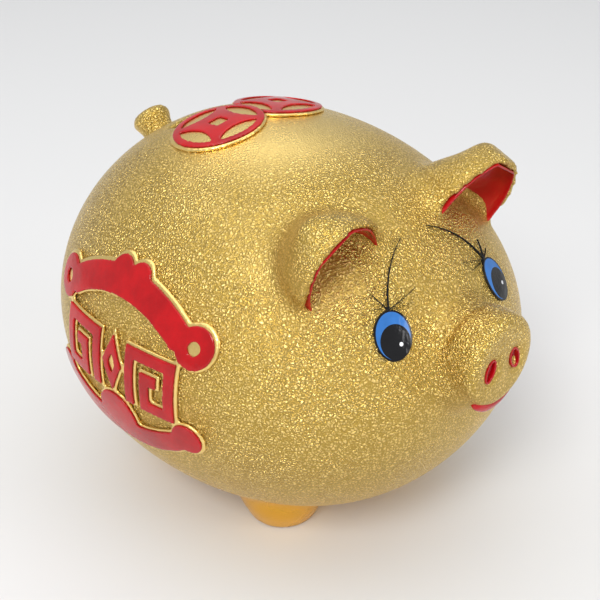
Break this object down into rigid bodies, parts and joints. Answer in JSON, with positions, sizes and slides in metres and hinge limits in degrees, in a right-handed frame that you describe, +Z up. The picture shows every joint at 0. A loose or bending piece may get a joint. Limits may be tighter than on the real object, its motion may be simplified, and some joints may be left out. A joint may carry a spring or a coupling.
{
  "type": "pig money bank",
  "caption": "Standing pig coin bank: hollow glazed ceramic shell with a coin slot in its back, raised enamelled ornaments, painted eyes and a pull-out rubber stopper under the belly.",
  "frame": {"origin": "on the ground, under the middle of the outline in plan", "axes": "+Z up, snout towards -Y and tail towards +Y, the pig's left towards +X"},
  "size_m": [0.1544, 0.1828, 0.1434],
  "materials": {
    "crackle_gold": "metallic gold lustre over a fine crackled glaze, glossy",
    "smooth_gold": "metallic gold lustre over smooth glaze, glossy",
    "red_enamel": "thick glossy red enamel",
    "black_enamel": "glossy black paint",
    "blue_enamel": "glossy blue paint",
    "white_enamel": "glossy white paint",
    "stopper_rubber": "matt moulded natural rubber"
  },
  "bodies": {
    "bank": {"body_shell": "crackle_gold", "cloud_band_left": "red_enamel", "cloud_band_right": "red_enamel", "coin_enamel_left": "red_enamel", "coin_enamel_right": "red_enamel", "coin_relief": "crackle_gold", "ear_left": "crackle_gold", "ear_lining_left": "red_enamel", "ear_lining_right": "red_enamel", "ear_right": "crackle_gold", "eye_glint_left": "white_enamel", "eye_glint_right": "white_enamel", "eye_iris_left": "blue_enamel", "eye_iris_right": "blue_enamel", "eye_outline_left": "black_enamel", "eye_outline_right": "black_enamel", "eye_pupil_left": "black_enamel", "eye_pupil_right": "black_enamel", "eyelashes_left": "black_enamel", "eyelashes_right": "black_enamel", "flank_relief_left": "crackle_gold", "flank_relief_right": "crackle_gold", "foot_front_left": "smooth_gold", "foot_front_right": "smooth_gold", "foot_rear_left": "smooth_gold", "foot_rear_right": "smooth_gold", "fret_front_left": "red_enamel", "fret_front_right": "red_enamel", "fret_rear_left": "red_enamel", "fret_rear_right": "red_enamel", "ingot_left": "red_enamel", "ingot_right": "red_enamel", "lozenge_left": "red_enamel", "lozenge_right": "red_enamel", "mouth": "red_enamel", "nostril_lining_left": "red_enamel", "nostril_lining_right": "red_enamel", "snout": "crackle_gold", "tail": "smooth_gold"},
    "stopper": {"belly_stopper": "stopper_rubber"}
  },
  "joints": [
    {"name": "stopper_pull", "type": "slide", "parent": "bank", "child": "stopper", "axis": [0, 0, -1], "range_m": [0, 0.022]}
  ]
}
